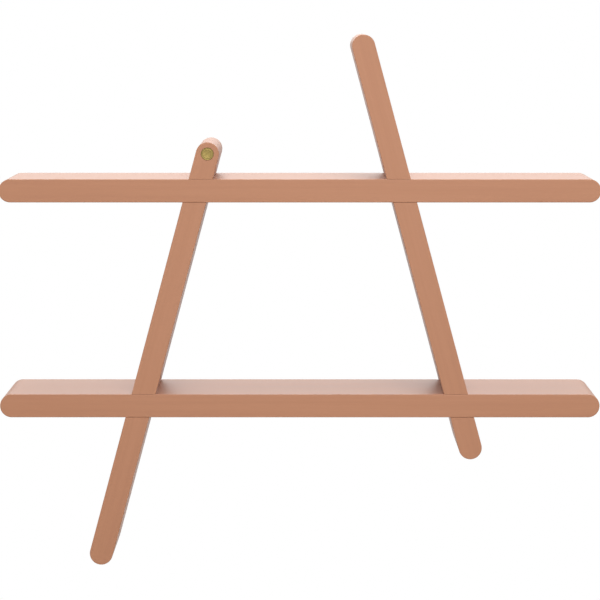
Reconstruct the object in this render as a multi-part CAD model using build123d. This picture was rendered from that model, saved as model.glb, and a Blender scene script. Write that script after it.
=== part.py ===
from build123d import *

import os
from math import cos, radians, sin

# A wall shelf of four boards, in millimetres. X runs to the right along the shelves, Z is up, the wall is the
# plane Y = 0 and the front edges lie at Y = -board_depth. The origin is the middle of the upper shelf's rear edge.

# The boards are cut from one stock and have full round ends
shelf_length = 520.0
upright_length = 380.0
board_depth = 120.0
board_thickness = 20.0
arris_radius = 0.6

# The uprights lean by slant_angle to opposite sides and stand furthest apart at the bottom
shelf_spacing = 186.6
slant_angle = 15.0
crossing_offset = 88.2
left_tip_above = 43.0
right_tip_above = 138.8

# Edge-halving joints: a shelf is slotted from the rear to slot_depth, an upright from the front down to the same plane
slot_depth = 60.0
lap_clearance = 0.1

# The brass badge sits in a stepped blind hole at the centre of the left upright's top round
badge_diameter = 11.0
badge_thickness = 1.6
badge_edge_radius = 0.3
badge_recess = 0.5
badge_shank_diameter = 4.0
badge_shank_length = 8.0
badge_clearance = 0.1

# Keyhole plates are let into the upper shelf's rear edge, outboard of each upright
hanger_outboard = 71.8
plate_length = 45.0
plate_thickness = 1.5
plate_web = 1.0
plate_setback = 0.3
plate_clearance = 0.1

# A wall screw's head goes in at the round entry, and the shelf drops until the screw is in the narrow seat
entry_diameter = 8.0
seat_width = 4.6
hang_travel = 5.0
pocket_clearance = 0.3
pocket_depth = 8.0

# Countersunk screws with a cross recess hold each plate near its two ends
screw_inset = 6.5
screw_diameter = 3.0
screw_length = 16.0
screw_tip_length = 3.0
screw_head_diameter = 5.8
screw_sink = 0.1
screw_clearance = 0.05
cross_span = 3.0
cross_width = 0.7
cross_depth = 1.0

# How far a cutting tool runs past the surface it enters
cutter_overrun = 5.0

plate_width = entry_diameter + hang_travel + 2 * plate_web
hanger_x = crossing_offset + hanger_outboard
shelf_heights = (0.0, -shelf_spacing)
left, right = -1, 1


def outline_solid(outline, start_y, end_y):
    """A front-view outline carried straight from one depth to a smaller Y."""
    return extrude(Plane.XZ.offset(-start_y) * outline, amount=start_y - end_y)


def board(outline):
    """A full-depth board of the given front-view outline, with its front and rear edges eased."""
    blank = outline_solid(outline, 0, -board_depth)
    by_depth = blank.faces().sort_by(Axis.Y)
    return fillet(by_depth[0].edges() + by_depth[-1].edges(), arris_radius)


def along_upright(side, distance):
    """The front-view place this far up an upright's middle line from its crossing with the upper shelf."""
    lean = radians(slant_angle)
    return Pos(side * (crossing_offset - distance * sin(lean)), distance * cos(lean))


def upright_place(side, tip_above):
    """The front-view place and slant of an upright's middle, for outlines drawn lying along X."""
    return along_upright(side, tip_above - upright_length / 2) * Rot(0, 0, 90 + side * slant_angle)


def make_shelf(height):
    """A shelf board with a slanted slot through the rear of its depth for each upright."""
    shelf = board(Pos(0, height) * SlotOverall(shelf_length, board_thickness))
    for side, tip_above in ((left, left_tip_above), (right, right_tip_above)):
        slot = upright_place(side, tip_above) * Rectangle(upright_length, board_thickness + 2 * lap_clearance)
        shelf -= outline_solid(slot, cutter_overrun, -slot_depth)
    return shelf


def make_upright(side, tip_above):
    """An upright board with a level notch through the front of its depth for each shelf."""
    upright = board(upright_place(side, tip_above) * SlotOverall(upright_length, board_thickness))
    for height in shelf_heights:
        notch = Pos(0, height) * Rectangle(shelf_length, board_thickness + 2 * lap_clearance)
        upright -= outline_solid(notch, -slot_depth, -board_depth - cutter_overrun)
    return upright


def badge_turning(clearance, front_y):
    """A disc and its shank about the Y axis, grown sideways by the clearance, with its front at front_y."""
    seat_y = badge_recess + badge_thickness - board_depth
    shank_end = seat_y + badge_shank_length + clearance
    disc = badge_diameter / 2 + clearance
    shank = badge_shank_diameter / 2 + clearance
    profile = Polyline((0, front_y), (disc, front_y), (disc, seat_y), (shank, seat_y), (shank, shank_end),
                       (0, shank_end), close=True)
    return revolve(make_face(profile), Axis.Y)


def badge_place():
    """The centre line of the round at the left upright's top end."""
    centre = along_upright(left, left_tip_above - board_thickness / 2).position
    return Pos(centre.X, 0, centre.Y)


def make_badge():
    """The turned brass badge, its front rim eased."""
    badge = badge_turning(0, badge_recess - board_depth)
    rim = badge.edges().sort_by(Axis.Y)[0]
    return badge_place() * fillet(rim, badge_edge_radius)


def keyhole_plate(side):
    """A round-ended steel plate with a keyhole and a countersunk hole near each end."""
    seat = SlotCenterToCenter(hang_travel, seat_width, rotation=90)
    keyhole = Pos(0, -hang_travel / 2) * Circle(entry_diameter / 2) + seat
    outline = Pos(side * hanger_x, 0) * (SlotOverall(plate_length, plate_width) - keyhole)
    plate = outline_solid(outline, -plate_setback, -plate_setback - plate_thickness)
    for place in screw_places(side):
        plate -= place * screw_hole()
    return plate


def plate_rebate(side):
    """What is milled out of the shelf for one plate: its shallow rebate, the pocket behind it and the pilot holes."""
    floor_y = -plate_setback - plate_thickness
    grown = 2 * plate_clearance
    rebate = Pos(side * hanger_x, 0) * SlotOverall(plate_length + grown, plate_width + grown)
    pocket_width = entry_diameter + 2 * pocket_clearance
    pocket = Pos(side * hanger_x, 0) * SlotCenterToCenter(hang_travel, pocket_width, rotation=90)
    milled = outline_solid(rebate, cutter_overrun, floor_y)
    milled += outline_solid(pocket, floor_y, floor_y - pocket_depth)
    for place in screw_places(side):
        milled += place * screw_hole()
    return milled


def screw_places(side):
    """The two places of a plate's screws, at the centres of their sunk heads."""
    reach = plate_length / 2 - screw_inset
    head_y = -plate_setback - screw_sink
    return [Pos(side * hanger_x + end * reach, head_y, 0) for end in (left, right)]


def screw_turning(clearance):
    """A countersunk screw about the Y axis, pointing to -Y, with the clearance round its shank and tip."""
    head = screw_head_diameter / 2
    shank = screw_diameter / 2 + clearance
    end_y = -screw_length - clearance
    profile = Polyline((0, 0), (head, 0), (shank, shank - head), (shank, end_y + screw_tip_length), (0, end_y),
                       close=True)
    return revolve(make_face(profile), Axis.Y)


def screw_hole():
    """The countersunk hole that one screw needs through plate and wood, open to the rear."""
    mouth = outline_solid(Circle(screw_head_diameter / 2), cutter_overrun, 0)
    return screw_turning(screw_clearance) + mouth


def make_screw():
    """A screw with a cross recess in its head."""
    cross = Box(cross_span, 2 * cross_depth, cross_width) + Box(cross_width, 2 * cross_depth, cross_span)
    return screw_turning(0) - cross


upper_height, lower_height = shelf_heights
upper_shelf = make_shelf(upper_height) - plate_rebate(left) - plate_rebate(right)
left_upright = make_upright(left, left_tip_above)
badge_hole = badge_place() * badge_turning(badge_clearance, -board_depth - cutter_overrun)
screws = [place * make_screw() for side in (left, right) for place in screw_places(side)]

nodes = {
    "upper_shelf": upper_shelf,
    "lower_shelf": make_shelf(lower_height),
    "left_upright": left_upright - badge_hole,
    "right_upright": make_upright(right, right_tip_above),
    "brass_badge": make_badge(),
    "left_hanger_plate": keyhole_plate(left),
    "right_hanger_plate": keyhole_plate(right),
    "hanger_screws": Compound(children=screws),
}

os.makedirs("parts", exist_ok=True)
for name, node in nodes.items():
    export_step(node, f"parts/{name}.step")
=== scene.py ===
import math

import bpy
import numpy as np
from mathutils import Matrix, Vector


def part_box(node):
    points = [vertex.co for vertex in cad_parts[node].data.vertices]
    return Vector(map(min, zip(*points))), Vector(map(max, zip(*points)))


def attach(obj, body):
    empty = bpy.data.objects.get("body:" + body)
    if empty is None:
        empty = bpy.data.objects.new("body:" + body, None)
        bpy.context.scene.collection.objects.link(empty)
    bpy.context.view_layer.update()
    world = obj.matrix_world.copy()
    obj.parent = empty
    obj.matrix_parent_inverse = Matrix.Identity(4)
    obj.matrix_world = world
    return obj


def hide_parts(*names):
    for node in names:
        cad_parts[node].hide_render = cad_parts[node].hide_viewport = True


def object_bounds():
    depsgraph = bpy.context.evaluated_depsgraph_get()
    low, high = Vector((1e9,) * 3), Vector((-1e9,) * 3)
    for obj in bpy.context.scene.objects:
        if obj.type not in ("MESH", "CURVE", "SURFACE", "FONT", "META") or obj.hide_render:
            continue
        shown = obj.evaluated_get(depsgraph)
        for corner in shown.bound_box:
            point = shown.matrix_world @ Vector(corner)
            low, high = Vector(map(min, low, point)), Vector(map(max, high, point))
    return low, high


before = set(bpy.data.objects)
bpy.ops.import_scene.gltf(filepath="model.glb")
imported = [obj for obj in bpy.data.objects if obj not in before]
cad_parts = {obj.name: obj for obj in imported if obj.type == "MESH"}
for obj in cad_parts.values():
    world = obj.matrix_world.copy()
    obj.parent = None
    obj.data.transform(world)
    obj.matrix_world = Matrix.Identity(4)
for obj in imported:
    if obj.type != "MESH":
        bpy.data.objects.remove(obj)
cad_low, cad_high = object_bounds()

# The four boards. Solid beech planed to one stock, with full round ends and eased edges, sprayed with a
# pigmented terracotta lacquer. The lacquer leaves a satin sheen and lets the straight grain show faintly.

QUARTER_TURN = math.pi / 2
UPRIGHT_LEAN = math.radians(15)
TERRACOTTA_DARK = "#B77E5E"
TERRACOTTA = "#BB8261"
TERRACOTTA_LIGHT = "#BE8565"
LACQUER_IOR = 1.49
SATIN_ROUGHNESS = (0.39, 0.43)
GROWTH_BAND = (0.260, 0.0065, 0.0065)
PORE_STREAK = (0.014, 0.0006, 0.0006)
PORE_SHADE = (0.975, 1.015)
PORE_DEPTH = 0.00002
PORE_RELIEF = 0.18
SPRAY_RIPPLE = (0.0035, 0.0035, 0.0035)
RIPPLE_DEPTH = 0.00006
RIPPLE_RELIEF = 0.10
NOISE_LOW = 0.3
NOISE_HIGH = 0.7


def linear(code):
    """An sRGB hex code as a linear colour with full alpha. Each channel c becomes c / 12.92 up to
    0.04045, and ((c + 0.055) / 1.055) to the power 2.4 above it."""
    parts = [int(code[i:i + 2], 16) / 255 for i in (1, 3, 5)]
    return tuple(c / 12.92 if c <= 0.04045 else ((c + 0.055) / 1.055) ** 2.4 for c in parts) + (1.0,)


def add(tree, kind, sockets=(), **settings):
    """Adds a node, gives it its settings, and sets or links each named or numbered input socket."""
    node = tree.nodes.new(kind)
    for name, value in settings.items():
        setattr(node, name, value)
    for name, value in dict(sockets).items():
        if isinstance(value, bpy.types.NodeSocket):
            tree.links.new(value, node.inputs[name])
        else:
            node.inputs[name].default_value = value
    return node


def new_material(name):
    """An empty node material and its tree, with the Principled shader wired to the output."""
    material = bpy.data.materials.new(name)
    material.use_nodes = True
    tree = material.node_tree
    tree.nodes.clear()
    shader = add(tree, "ShaderNodeBsdfPrincipled")
    add(tree, "ShaderNodeOutputMaterial", {"Surface": shader.outputs["BSDF"]})
    return material, tree, shader


def lacquered_beech(name, middle, turn):
    """Satin lacquer over straight-grained beech, its grain along X turned about Y by an angle."""
    material, tree, shader = new_material(name)
    place = add(tree, "ShaderNodeTexCoord").outputs["Object"]

    def along_board(size):
        """Object coordinates from the board's middle, turned along it and divided by a size in metres."""
        return add(tree, "ShaderNodeMapping", {"Vector": place, "Location": middle, "Rotation": (0, turn, 0),
                                               "Scale": size}, vector_type="TEXTURE").outputs["Vector"]

    growth = add(tree, "ShaderNodeTexNoise", {"Vector": along_board(GROWTH_BAND), "Scale": 1.0, "Detail": 3.0,
                                              "Roughness": 0.55, "Distortion": 0.3})
    pores = add(tree, "ShaderNodeTexNoise", {"Vector": along_board(PORE_STREAK), "Scale": 1.0, "Detail": 2.0,
                                             "Roughness": 0.6})
    ripple = add(tree, "ShaderNodeTexNoise", {"Vector": along_board(SPRAY_RIPPLE), "Scale": 1.0,
                                              "Detail": 1.0})
    tone = add(tree, "ShaderNodeValToRGB", {"Fac": growth.outputs["Fac"]})
    low, high = tone.color_ramp.elements
    low.position, low.color = NOISE_LOW, linear(TERRACOTTA_DARK)
    high.position, high.color = NOISE_HIGH, linear(TERRACOTTA_LIGHT)
    tone.color_ramp.elements.new((NOISE_LOW + NOISE_HIGH) / 2).color = linear(TERRACOTTA)
    pore_tone = add(tree, "ShaderNodeMapRange", {"Value": pores.outputs["Fac"], "From Min": NOISE_LOW,
                                                 "From Max": NOISE_HIGH, "To Min": PORE_SHADE[0],
                                                 "To Max": PORE_SHADE[1]})
    shade = add(tree, "ShaderNodeVectorMath", {0: tone.outputs["Color"],
                                               "Scale": pore_tone.outputs["Result"]}, operation="SCALE")
    sheen = add(tree, "ShaderNodeMapRange", {"Value": growth.outputs["Fac"], "From Min": NOISE_LOW,
                                             "From Max": NOISE_HIGH, "To Min": SATIN_ROUGHNESS[0],
                                             "To Max": SATIN_ROUGHNESS[1]})
    skin = add(tree, "ShaderNodeBump", {"Height": ripple.outputs["Fac"], "Strength": RIPPLE_RELIEF,
                                        "Distance": RIPPLE_DEPTH})
    grain = add(tree, "ShaderNodeBump", {"Height": pores.outputs["Fac"], "Strength": PORE_RELIEF,
                                         "Distance": PORE_DEPTH, "Normal": skin.outputs["Normal"]})
    tree.links.new(shade.outputs["Vector"], shader.inputs["Base Color"])
    tree.links.new(sheen.outputs["Result"], shader.inputs["Roughness"])
    tree.links.new(grain.outputs["Normal"], shader.inputs["Normal"])
    shader.inputs["IOR"].default_value = LACQUER_IOR
    return material


for board, turn in (("upper_shelf", 0.0), ("lower_shelf", 0.0), ("left_upright", UPRIGHT_LEAN - QUARTER_TURN),
                    ("right_upright", -UPRIGHT_LEAN - QUARTER_TURN)):
    low_corner, high_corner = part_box(board)
    finish = lacquered_beech(f"lacquered_beech_{board}", (low_corner + high_corner) / 2, turn)
    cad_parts[board].material_slots[0].material = finish

# The badge. A disc with a shank behind it, turned from brass bar and pressed into the left upright's top
# round until its face is half a millimetre below the wood. Its rim stands round a shallow dish, where the
# lathe left concentric rings, and the bare brass has aged to a dull olive gold.

BADGE_THICKNESS = 0.0016
SHANK_RADIUS = 0.0020
RIM_EASE = 0.0003
RIM_WIDTH = 0.0008
GROOVE_WIDTH = 0.0005
GROOVE_DEPTH = 0.00016
DISH_DEPTH = 0.00022
DISH_RINGS = 5
RING_DEPTH = 0.00004
FACE_POINTS = 97
EASE_POINTS = 9
TURNED_STEPS = 96
SHARP_CORNER = math.radians(40)
AGED_BRASS = "#93804D"
TARNISH = "#7E6E41"
TARNISH_CLOUD = 0.0016
TARNISH_BREAKUP = 0.6
BRASS_ROUGHNESS = (0.46, 0.30)
CLOUD_LOW = 0.35
CLOUD_HIGH = 0.65


def badge_profile(radius, length):
    """The badge's outline as radii and depths behind its face, from the face's centre to the shank's
    end. The dish is depth * (1 - (r / rim)^2) with rings of ring depth * (1 - cos) / 2, the groove is a
    bell curve at the rim's inner edge, and the rim is eased by a quarter circle."""
    rim = radius - RIM_EASE - RIM_WIDTH
    face = np.linspace(0, radius - RIM_EASE, FACE_POINTS)
    inside = np.minimum(face / rim, 1)
    rings = RING_DEPTH * (1 - np.cos(2 * np.pi * DISH_RINGS * inside)) / 2
    dish = DISH_DEPTH * (1 - inside ** 2) + rings
    groove = GROOVE_DEPTH * np.exp(-((face - rim) / (GROOVE_WIDTH / 2)) ** 2)
    quarter = np.linspace(0, np.pi / 2, EASE_POINTS)[1:]
    radii = np.concatenate([face, radius - RIM_EASE + RIM_EASE * np.sin(quarter),
                            [radius, SHANK_RADIUS, SHANK_RADIUS, 0]])
    depths = np.concatenate([dish + groove, RIM_EASE * (1 - np.cos(quarter)),
                             [BADGE_THICKNESS, BADGE_THICKNESS, length, length]])
    return radii, depths


def turned_piece(name, centre, radii, depths):
    """A profile turned about a line along Y. Point (i, j) is at angle 2 pi i / steps on the profile's
    point j, and the first and last profile points, on the line itself, are one point each."""
    steps = TURNED_STEPS
    angles = np.linspace(0, 2 * np.pi, steps, endpoint=False)
    rings = np.stack([np.outer(radii[1:-1], np.cos(angles)), np.repeat(depths[1:-1, None], steps, axis=1),
                      np.outer(radii[1:-1], np.sin(angles))], axis=-1).reshape(-1, 3)
    points = np.vstack([rings, [0, depths[0], 0], [0, depths[-1], 0]]) + centre
    here = np.arange(steps)
    after = (here + 1) % steps
    rows = steps * np.arange(len(radii) - 3)[:, None]
    walls = np.stack([rows + here, rows + steps + here, rows + steps + after, rows + after], axis=-1)
    first = np.stack([np.full(steps, len(rings)), here, after], axis=-1)
    last_row = len(rings) - steps
    last = np.stack([np.full(steps, len(rings) + 1), last_row + after, last_row + here], axis=-1)
    mesh = bpy.data.meshes.new(name)
    mesh.from_pydata(points.tolist(), [], walls.reshape(-1, 4).tolist() + first.tolist() + last.tolist())
    mesh.shade_smooth()
    mesh.set_sharp_from_angle(angle=SHARP_CORNER)
    piece = bpy.data.objects.new(name, mesh)
    bpy.context.scene.collection.objects.link(piece)
    return piece


def clouded_metal(name, cloud_size, breakup, colours, roughness):
    """A metal whose colour and roughness drift between two ends in clouds of a size in metres."""
    material, tree, shader = new_material(name)
    place = add(tree, "ShaderNodeTexCoord").outputs["Object"]
    cloud = add(tree, "ShaderNodeTexNoise", {"Vector": place, "Scale": 1 / cloud_size, "Detail": 4.0,
                                             "Roughness": breakup})
    tone = add(tree, "ShaderNodeValToRGB", {"Fac": cloud.outputs["Fac"]})
    for stop, position, colour in zip(tone.color_ramp.elements, (CLOUD_LOW, CLOUD_HIGH), colours):
        stop.position, stop.color = position, linear(colour)
    dullness = add(tree, "ShaderNodeMapRange", {"Value": cloud.outputs["Fac"], "From Min": NOISE_LOW,
                                                "From Max": NOISE_HIGH, "To Min": roughness[0],
                                                "To Max": roughness[1]})
    tree.links.new(tone.outputs["Color"], shader.inputs["Base Color"])
    tree.links.new(dullness.outputs["Result"], shader.inputs["Roughness"])
    shader.inputs["Metallic"].default_value = 1.0
    return material


badge_low, badge_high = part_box("brass_badge")
badge_middle = (badge_low + badge_high) / 2
badge_face = np.array([badge_middle.x, badge_low.y, badge_middle.z])
badge = turned_piece("turned_badge", badge_face,
                     *badge_profile((badge_high.x - badge_low.x) / 2, badge_high.y - badge_low.y))
badge.data.materials.append(clouded_metal("aged_turned_brass", TARNISH_CLOUD, TARNISH_BREAKUP,
                                          (TARNISH, AGED_BRASS), BRASS_ROUGHNESS))
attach(badge, "root")
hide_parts("brass_badge")

# The hangers. Keyhole plates stamped from sheet steel and barrel-plated with zinc, each let into the
# upper shelf's rear edge and held by two countersunk screws. The plating is bright and cool, and clouded
# by handling.

ZINC = "#C6CACE"
ZINC_CLOUDED = "#B2B8BE"
ZINC_CLOUD = 0.004
ZINC_BREAKUP = 0.5
ZINC_ROUGHNESS = (0.24, 0.40)

zinc = clouded_metal("zinc_plated_steel", ZINC_CLOUD, ZINC_BREAKUP, (ZINC, ZINC_CLOUDED),
                     ZINC_ROUGHNESS)
for node in ("left_hanger_plate", "right_hanger_plate", "hanger_screws"):
    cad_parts[node].material_slots[0].material = zinc

# The room. A plain pale floor 1.4 m below the upper shelf, a white surround, and large soft lamps that
# all face the shelf: one overhead, two in front, one at each side and two behind.

FLOOR_BELOW = 1.40
FLOOR_HALF = 4.0
FLOOR_WHITE = "#F2F2F0"
FLOOR_ROUGHNESS = 0.9
FLOOR_LIFT = 0.60
SURROUND = 0.27
WHITE = (1.0, 1.0, 1.0, 1.0)

floor_mesh = bpy.data.meshes.new("floor")
floor_mesh.from_pydata([(-FLOOR_HALF, -FLOOR_HALF, -FLOOR_BELOW), (FLOOR_HALF, -FLOOR_HALF, -FLOOR_BELOW),
                        (FLOOR_HALF, FLOOR_HALF, -FLOOR_BELOW), (-FLOOR_HALF, FLOOR_HALF, -FLOOR_BELOW)], [],
                       [(0, 1, 2, 3)])
floor = bpy.data.objects.new("floor", floor_mesh)
bpy.context.scene.collection.objects.link(floor)
floor_paint, floor_tree, floor_shader = new_material("matt_floor_paint")
floor_shader.inputs["Base Color"].default_value = linear(FLOOR_WHITE)
floor_shader.inputs["Roughness"].default_value = FLOOR_ROUGHNESS
floor_shader.inputs["Emission Color"].default_value = WHITE
floor_seen = add(floor_tree, "ShaderNodeLightPath").outputs["Is Camera Ray"]
floor_lift = add(floor_tree, "ShaderNodeMapRange", {"Value": floor_seen, "To Min": 0.0, "To Max": FLOOR_LIFT})
floor_tree.links.new(floor_lift.outputs["Result"], floor_shader.inputs["Emission Strength"])
floor.data.materials.append(floor_paint)

world = bpy.data.worlds.new("white_surround")
world.use_nodes = True
sky = world.node_tree
sky.nodes.clear()
ray = add(sky, "ShaderNodeLightPath").outputs
seen = add(sky, "ShaderNodeMath", {0: ray["Is Camera Ray"], 1: ray["Is Glossy Ray"]}, operation="MAXIMUM")
seen = add(sky, "ShaderNodeMath", {0: seen.outputs["Value"], 1: ray["Is Transmission Ray"]},
           operation="MAXIMUM")
level = add(sky, "ShaderNodeMapRange", {"Value": seen.outputs["Value"], "To Min": SURROUND, "To Max": 1.0})
backdrop = add(sky, "ShaderNodeBackground", {"Color": WHITE, "Strength": level.outputs["Result"]})
add(sky, "ShaderNodeOutputWorld", {"Surface": backdrop.outputs["Background"]})
bpy.context.scene.world = world


def soft_light(name, place, size, power):
    """A square lamp of the given side and watts at a place, facing the shelf's middle."""
    lamp = bpy.data.lights.new(name, "AREA")
    lamp.size, lamp.energy = size, power
    light = bpy.data.objects.new(name, lamp)
    bpy.context.scene.collection.objects.link(light)
    light.location = place
    middle = (cad_low + cad_high) / 2
    light.rotation_euler = (middle - Vector(place)).to_track_quat("-Z", "Y").to_euler()


soft_light("overhead", (0.0, -0.1, 2.0), 1.2, 12.5)
soft_light("front", (0.2, -1.8, 1.4), 1.6, 29.0)
soft_light("low_front", (0.2, -1.8, 0.3), 1.6, 6.5)
soft_light("right", (1.8, -0.2, 0.6), 1.2, 4.0)
soft_light("left", (-1.8, -0.2, 0.6), 1.2, 4.0)
soft_light("back", (0.0, 1.8, 0.9), 1.4, 6.5)
soft_light("high_back", (0.0, 1.2, 1.8), 1.4, 4.0)

# The camera. It stands 2.8 m in front of the shelf's front edges and a little above the upper shelf, and
# is tipped down to the middle of the frame. From so far off the uprights hardly converge.

EYE_RIGHT = 0.0036
EYE_BACK = 2.80
EYE_HEIGHT = 0.1476
AIM_RIGHT = 0.0002
AIM_BELOW = 0.0944
LENS_MM = 195.0
SENSOR_MM = 36.0

eye = Vector((EYE_RIGHT, cad_low.y - EYE_BACK, EYE_HEIGHT))
aim = Vector((AIM_RIGHT, cad_low.y, -AIM_BELOW))
camera_data = bpy.data.cameras.new("camera")
camera = bpy.data.objects.new("camera", camera_data)
bpy.context.scene.collection.objects.link(camera)
camera.location = eye
camera.rotation_euler = (aim - eye).to_track_quat("-Z", "Y").to_euler()
camera_data.sensor_width = SENSOR_MM
camera_data.lens = LENS_MM
bpy.context.scene.camera = camera
bpy.context.scene.view_settings.view_transform = "Standard"
